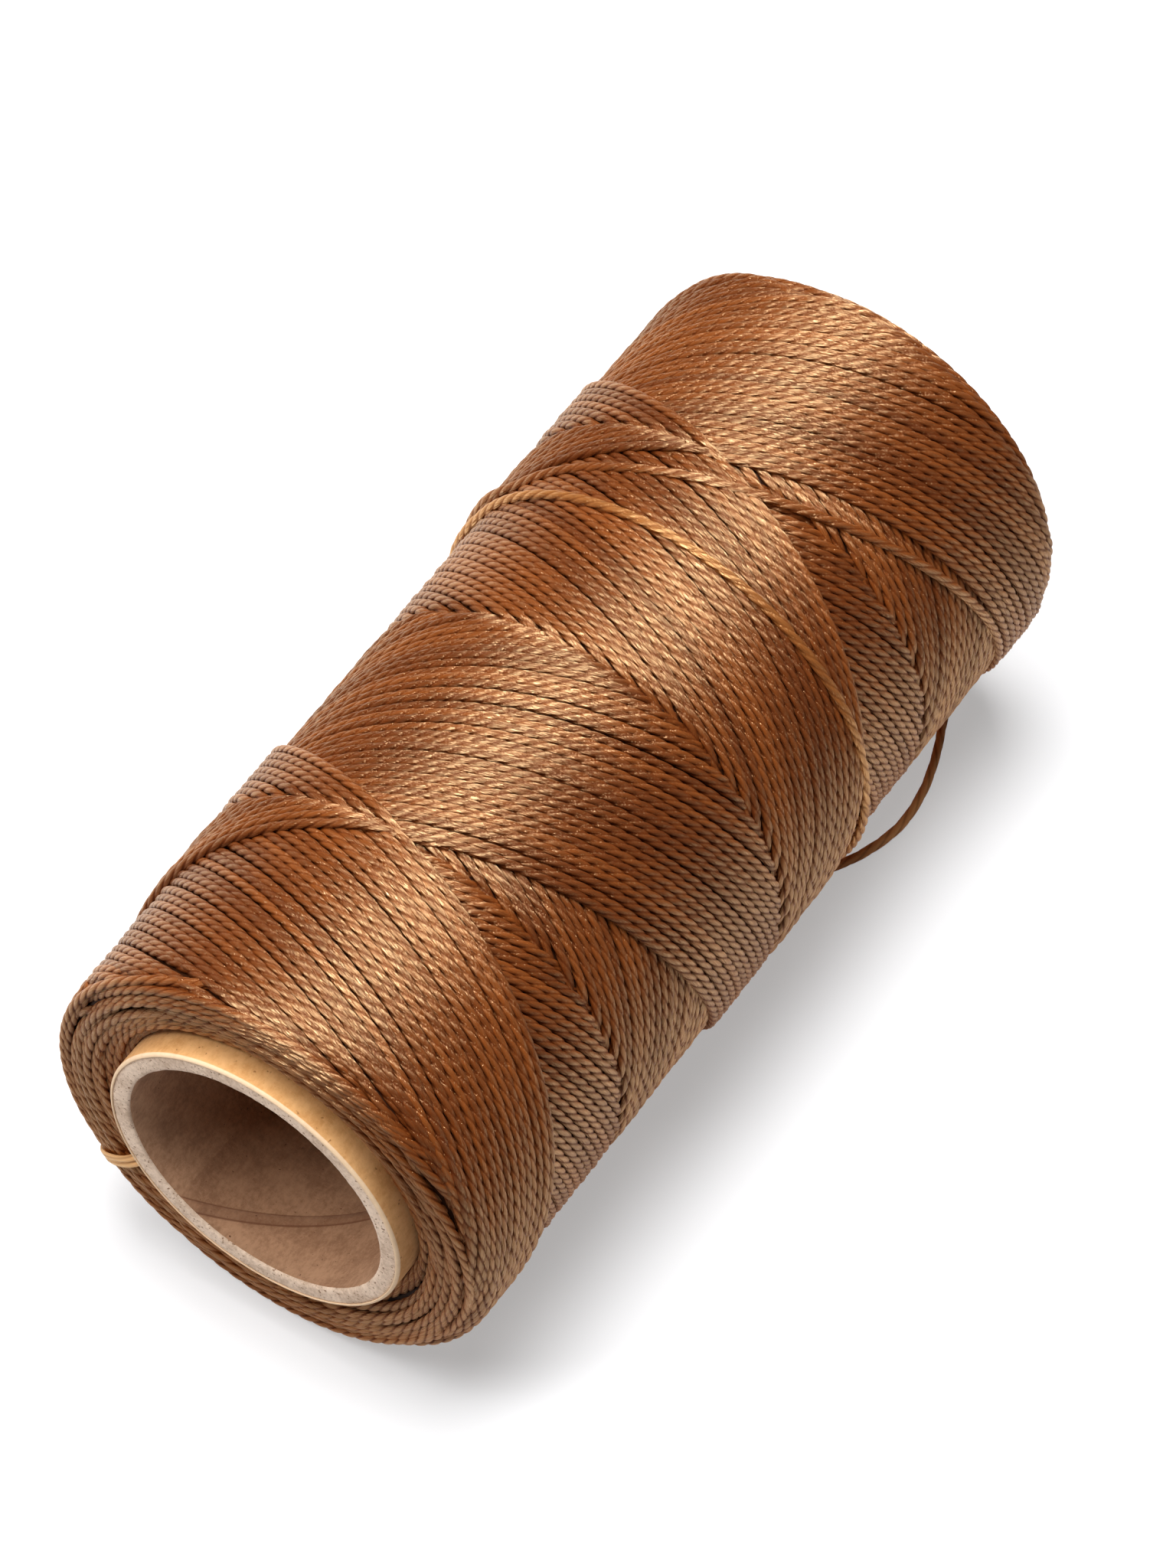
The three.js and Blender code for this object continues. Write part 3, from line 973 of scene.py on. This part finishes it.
@dataclass
class SingleStrands:
    """The last strands on the package, the folded start and the loose loop."""

    package: Package
    start_angle: float = 324.5
    start_spread: float = 0.74 * MM

    def laid(self, places: Iterable[tuple[float, float]], lift: float) -> np.ndarray:
        """A line laid over the package, with its first few degrees tucked under.

        Args:
            places: pairs of angle in degrees and x in millimetres.
            lift: height of its centre over the surface.

        Returns:
            The line's points.
        """
        line = spline_through([(angle, x, 0) for angle, x in places], 30)
        degrees, x = line[:, 0], line[:, 1] * MM
        step = np.array([self.package.step_height(float(a), float(b)) for a, b in zip(x, degrees)])
        span = 9  # points that each step is smoothed over
        step = np.convolve(np.pad(step, span // 2, mode="edge"), np.ones(span) / span, mode="valid")
        tuck = 1.2 * MM * (1 - smooth(0, 9, degrees - degrees[0]))
        return self.package.place(x, degrees, self.package.radius + step + lift - tuck)

    def last_pass(self) -> bpy.types.Object:
        """The last pass over the package."""
        thread = self.package.thread
        route = Route(self.laid(LAST_PASS, thread.diameter * 0.1), 0.8)
        return thread.lay("last_pass_thread", [route], ThreadColour.BROWN, 91)

    def finishing_wrap(self) -> bpy.types.Object:
        """The almost straight golden turn, a painted highlight in a lighter copy of the thread's colour,
        which fades on its way down to the shaded side.
        """
        thread = self.package.thread
        # Painted highlight that dims: the tone falls from 1.0 where the strand starts to 0.2 on the
        # shaded side.
        route = Route(self.laid(FINISHING_WRAP, thread.diameter * 0.2), 1.0, 0.2)
        return thread.lay("finishing_thread", [route], ThreadColour.GOLDEN, 92)

    def start(self, side: int) -> bpy.types.Object:
        """One strand of the folded start of the thread.

        Args:
            side: -1 or 1, which of the two strands.

        Returns:
            The piece.
        """
        p = self.package
        strand = TwistedThread(diameter=0.84 * MM, twist_length=60 * MM, groove_depth=0.1)
        d = strand.diameter
        face = -float(p.half(-1))
        places = [
            (face + 1.8 * d, p.tube_radius + 0.35 * d),
            (face + 0.9 * d, p.tube_radius + 1.2 * d),
            (face - 0.1 * d, p.tube_radius + 3.4 * d),
            (face, p.radius - p.shoulder),
            (face + 0.9 * d, p.radius - 0.7 * d),
            (face + 2.4 * d, p.radius - 0.1 * d),
            (face + 4.5 * d, p.radius - 0.9 * d),
        ]
        angle = math.radians(self.start_angle)
        out = np.array([0, math.cos(angle), math.sin(angle)])
        across = np.array([0, -math.sin(angle), math.cos(angle)]) * self.start_spread / 2 * side
        centre = np.array([0, 0, p.axis_height])
        points = [np.array([x, 0, 0]) + out * r + across + centre for x, r in places]
        route = Route(spline_through(points, 12), 0.9)
        name = f"start_thread_{1 if side < 0 else 2}"
        # The folded start is drawn in the much lighter copy of the thread: painted light.
        return strand.lay(name, [route], ThreadColour.PALE, 93 + side, p.outward, 0.55)

    def loop(self) -> tuple[bpy.types.Object, np.ndarray]:
        """The loose loop on the floor, and its centreline."""
        line = spline_through(LOOP_ROUTE, 12)
        slack = TwistedThread(twist_length=8 * MM, groove_depth=0.12)
        # The loop is drawn in the lighter copy of the thread: painted light.
        piece = slack.lay("loose_thread", [Route(line, 0.7)], ThreadColour.LOOSE, 97)
        return piece, resample(line, self.package.thread.diameter)


# ---- Paper tube --------------------------------------------------------------


@dataclass
class PaperTube:
    """The spiral paper tube: kraft wrap, chipboard and the liner in the bore."""

    half_length: float
    axis_height: float
    liner_radius: float
    outer_radius: float
    wrap_ply: float = 0.22 * MM
    seam_angle: float = 304.0
    segments: int = 192

    @property
    def bore_radius(self) -> float:
        """The radius of the liner's open side."""
        return self.liner_radius - LINER_PLY

    def ring(self, name: str, end: list[tuple[float, float]], paper: PaperFinish) -> bpy.types.Object:
        """A ring about the spool's axis, the same at both ends.

        Args:
            name: the piece's name.
            end: its outline at the far end, as pairs of x and distance from the axis.
            paper: its finish.

        Returns:
            The piece.
        """
        work = sweep(end + [(-x, r) for x, r in reversed(end)], self.segments)
        bmesh.ops.translate(work, verts=work.verts, vec=(0, 0, self.axis_height))
        return finish_mesh(work, name, paper.make())

    def wrap(self) -> bpy.types.Object:
        """The tan kraft outside, rounded over at both rims."""
        paper = PaperFinish(
            "tan_kraft",
            (0.62, 0.3, 0.1, 1),
            (0.8, 0.44, 0.18, 1),
            (0.4, 0.18, 0.06, 1),
            0.3,
            grain=1500,
            marking=(0.9, 0.68, 0.46, 1),
        )
        lip = 0.36 * MM
        straight = self.half_length - lip
        middle = self.outer_radius - lip
        quarter = [math.pi / 2 * i / 8 for i in range(9)]
        rim = [(straight + lip * math.sin(a), middle + lip * math.cos(a)) for a in quarter]
        inner = lip - self.wrap_ply
        rim += [(straight + inner * math.sin(a), middle + inner * math.cos(a)) for a in reversed(quarter)]
        made = self.ring("kraft_wrap", rim, paper)
        bent = [float(abs(vert.co.x) > straight + 0.02 * MM) for vert in made.data.vertices]
        made.data.attributes.new("marking", "FLOAT", "POINT").data.foreach_set("value", bent)
        return made

    def board(self) -> bpy.types.Object:
        """The grey chipboard body, with its fibrous cut ends and worn inner edges."""
        paper = PaperFinish(
            "grey_chipboard",
            (0.58, 0.41, 0.29, 1),
            (0.9, 0.7, 0.54, 1),
            (0.3, 0.17, 0.1, 1),
            0.36,
            grain=2600,
        )
        outer = self.outer_radius - self.wrap_ply
        inner = self.bore_radius + 0.05 * MM
        cut = self.half_length - 0.23 * MM
        crown = 0.16 * MM
        shares = [i / 7 for i in range(8)]
        rim = [(cut + crown * (1 - (2 * s - 1) ** 4), outer + (inner - outer) * s) for s in shares]
        rim.append((self.half_length - 0.7 * MM, inner))
        rim.append((self.half_length - 0.9 * MM, self.liner_radius + 0.03 * MM))
        made = self.ring("chipboard_body", rim, paper)
        for vert in made.data.vertices:
            if abs(vert.co.x) <= self.half_length - 0.3 * MM:
                continue
            rough = noise.noise(vert.co * 900) + 0.6 * noise.noise(vert.co * 2300)
            vert.co.x += 0.05 * MM * rough
            y, z = vert.co.y, vert.co.z - self.axis_height
            if math.hypot(y, z) < inner + 0.1 * MM:
                worn = 1 + 0.003 * noise.noise(vert.co * 1400)
                vert.co.y, vert.co.z = y * worn, self.axis_height + z * worn
        return made

    def liner(self) -> bpy.types.Object:
        """The grey-brown kraft strip in the bore, wound as a screw with a lapped seam."""
        lap = 1.2 * MM
        rise = 0.12 * MM
        # The last column paints shade along both edges of the raised lap, at its steps, fading within 0.3
        # mm; the lap between them is a little darker.
        across = (  # x over the strip's width, how far it stands up, how dark it is
            (0, 0, 1),
            (rise, rise, 0.35),
            (lap, rise, 0.3),
            (lap + rise, 0, 0.9),
            (lap + 0.3 * MM, 0, 0),
            (12 * MM, 0, 0),
            (26 * MM, 0, 0),
            (40 * MM, 0, 0),
            (STRIP_PITCH - 0.2 * MM, 0, 0),
            (STRIP_PITCH, 0, 1),
        )
        strip = [(x, self.bore_radius - lift) for x, lift, _ in across]
        marks = [dark for _, _, dark in across]
        return self._trim_liner(sweep(strip, self.segments, -4, STRIP_PITCH, marks))

    def _trim_liner(self, work: bmesh.types.BMesh) -> bpy.types.Object:
        """Turns the screw to its place, cuts it to the tube's length and gives it a back.

        Args:
            work: the screw, which is freed.

        Returns:
            The piece.
        """
        bmesh.ops.remove_doubles(work, verts=work.verts, dist=WELD)
        turns_before = 1.5  # from the strip's start to the near end
        start = -self.half_length - STRIP_PITCH * turns_before
        turn = math.radians(self.seam_angle - 90 + 360 * turns_before)
        bmesh.ops.rotate(work, verts=work.verts, cent=(0, 0, 0), matrix=Matrix.Rotation(turn, 3, "X"))
        bmesh.ops.translate(work, verts=work.verts, vec=(start, 0, self.axis_height))
        for side in (-1, 1):
            everything = work.verts[:] + work.edges[:] + work.faces[:]
            bmesh.ops.bisect_plane(
                work,
                geom=everything,
                plane_co=(side * (self.half_length - 0.4 * MM), 0, 0),
                plane_no=(side, 0, 0),
                clear_outer=True,
            )
        rims = [edge for edge in work.edges if edge.is_boundary]
        grown = bmesh.ops.extrude_edge_only(work, edges=rims)["geom"]
        back = self.bore_radius + 0.3 * MM
        for vert in (item for item in grown if isinstance(item, bmesh.types.BMVert)):
            away = Vector((0, vert.co.y, vert.co.z - self.axis_height)).normalized()
            vert.co = Vector((vert.co.x, 0, self.axis_height)) + away * back
        backs = [item for item in grown if isinstance(item, bmesh.types.BMEdge) and item.is_boundary]
        bmesh.ops.bridge_loops(work, edges=backs)
        paper = PaperFinish(
            "brown_kraft",
            (0.32, 0.165, 0.09, 1),
            (0.5, 0.28, 0.16, 1),
            (0.16, 0.075, 0.04, 1),
            0.27,
            grain=2300,
            marking=(0.15, 0.05, 0.025, 1),
        )
        return finish_mesh(work, "bore_liner", paper.make())


# ---- Studio ------------------------------------------------------------------


@dataclass
class Studio:
    """The white sweep, the soft lights and the camera."""

    lens: float = 150.84
    camera_place: Point = (-0.31481, -0.21036, 0.54136)
    camera_aim: Point = (0.004642, 0.001066, 0.02)
    middle: Point = (0, 0, 0.02)

    def camera(self) -> None:
        """Puts the camera where the photograph was taken from."""
        data = bpy.data.cameras.new("camera")
        data.lens = self.lens
        data.sensor_width = 36
        made = link(data, "camera")
        point_at(made, self.camera_place, self.camera_aim)
        bpy.context.scene.camera = made

    def floor(self) -> None:
        """The white floor, which keeps the spool's shadow.

        In the thread's shine it shows painted reflections: it glows white behind the spool and warm close
        in front of it, is painted dark further away, and is half as bright ahead of the near end.
        """
        f = Finish("white_sweep")
        rays = f.node("LightPath").outputs
        place = f.node("TexCoord").outputs["Object"]
        distance = Field(f.node("VectorMath", {"operation": "LENGTH"}, Vector=place).outputs["Value"])
        parts = f.node("SeparateXYZ", None, Vector=place).outputs
        behind = Field(parts["Y"]).ramp(-0.02, 0.06)
        front = 1 - behind
        beside = 1 - (Field(parts["X"]) * -1).ramp(0.052, 0.064) * 0.5
        # Painted reflections: only glossy rays see the floor glow, white behind the spool and warm close
        # in front of it.
        glossy = Field(rays["Is Glossy Ray"])
        lit = glossy * beside
        white = Field(rays["Is Camera Ray"]) + lit * behind * 0.7
        near = lit * front * (1 - distance.ramp(0.06, 0.16))
        f.feed(f.shader, Emission_Color=f.blend(near, white, (0.6, 0.35, 0.24, 1)), Emission_Strength=0.4)
        # Painted dark reflection: glossy rays see the floor's colour fade to black further in front of
        # the spool, and dimmer ahead of the near end.
        shown = 1 - front * (0.1 + distance.ramp(0.06, 0.13) * 0.7)
        painted_dark_reflection = glossy * (1 - shown * beside)
        f.feed(f.shader, Base_Color=f.blend(painted_dark_reflection, (0.53, 0.53, 0.54, 1), (0, 0, 0, 1)))
        f.feed(f.shader, Roughness=0.9, Specular_IOR_Level=0.1)
        work = bmesh.new()
        bmesh.ops.create_grid(work, x_segments=1, y_segments=1, size=3)
        finish_mesh(work, "floor", f.material)

    def world(self) -> None:
        """An even surrounding light that the camera sees as white."""
        world = bpy.data.worlds.new("studio")
        world.use_nodes = True
        bpy.context.scene.world = world
        back = world.node_tree.nodes["Background"]
        seen = Field(world.node_tree.nodes.new("ShaderNodeLightPath").outputs["Is Camera Ray"])
        least = 0.012
        plug(back.inputs["Strength"], seen * (1 - least) + least)
        plug(back.inputs["Color"], (1, 1, 1, 1))

    def lamp(self, name: str, place: Point, size: float, power: float) -> bpy.types.Object:
        """A square soft box aimed at the spool.

        Args:
            name: the lamp's name.
            place: where it hangs.
            size: the length of its side.
            power: its power in watts.

        Returns:
            The lamp.
        """
        data = bpy.data.lights.new(name, "AREA")
        data.shape = "SQUARE"
        data.size = size
        data.energy = power
        made = link(data, name)
        point_at(made, place, self.middle)
        return made

    def build(self) -> None:
        """Sets up everything around the spool."""
        self.camera()
        self.floor()
        self.world()
        self.lamp("overhead", (0.07, 0.07, 0.9), 0.55, 13.4)
        fill = self.lamp("near_end_fill", (-0.36, 0.3, 0.7), 0.35, 3.9)
        fill.visible_glossy = False
        bpy.context.scene.view_settings.view_transform = "Standard"


# ---- Assembly ----------------------------------------------------------------


def register(piece: bpy.types.Object, slot: str, *nodes: str) -> None:
    """Hands a finished piece to the frame.

    Args:
        piece: the piece.
        slot: the name of a material slot; not used.
        *nodes: the solids that it stands for.
    """
    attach(piece, "root")
    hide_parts(*nodes)
    log.info("%s: %d faces", piece.name, len(piece.data.polygons))


def node_radius(node: str) -> float:
    """The outer radius of a solid about the spool's axis."""
    low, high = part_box(node)
    return (high.y - low.y) / 2


def main() -> None:
    """Builds the spool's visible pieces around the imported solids."""
    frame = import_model()
    log.info("the frame has %d solids", len(frame["nodes"]))
    Studio().build()

    tube_low, tube_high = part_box("tube_wrap")
    tube_radius = node_radius("tube_wrap")
    axis_height = (tube_low.z + tube_high.z) / 2
    package = Package(
        half_length=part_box("buried_layers")[1].x,
        radius=PACKAGE_RADIUS,
        axis_height=axis_height,
        tube_radius=tube_radius,
        thread=TwistedThread(),
    )
    strands = SingleStrands(package)
    loop, line = strands.loop()
    register(loop, "thread", "loose_loop")
    register(package.core(), "thread", "buried_layers")
    for piece in package.surface_pieces():
        register(piece, "thread", "outer_layers")
    for side in (-1, 1):
        register(package.end_turns(side), "thread", "outer_layers")
    register(strands.last_pass(), "thread", "last_pass")
    register(strands.finishing_wrap(), "golden_thread", "finishing_wrap")
    register(strands.start(-1), "golden_thread", "start_strand_1")
    register(strands.start(1), "golden_thread", "start_strand_2")

    tube = PaperTube(
        half_length=tube_high.x,
        axis_height=axis_height,
        liner_radius=node_radius("tube_liner"),
        outer_radius=tube_radius,
    )
    register(tube.wrap(), "kraft", "tube_wrap")
    register(tube.board(), "chipboard", "tube_inner_ply", "tube_outer_ply")
    register(tube.liner(), "liner", "tube_liner")


if __name__ == "__main__":
    main()
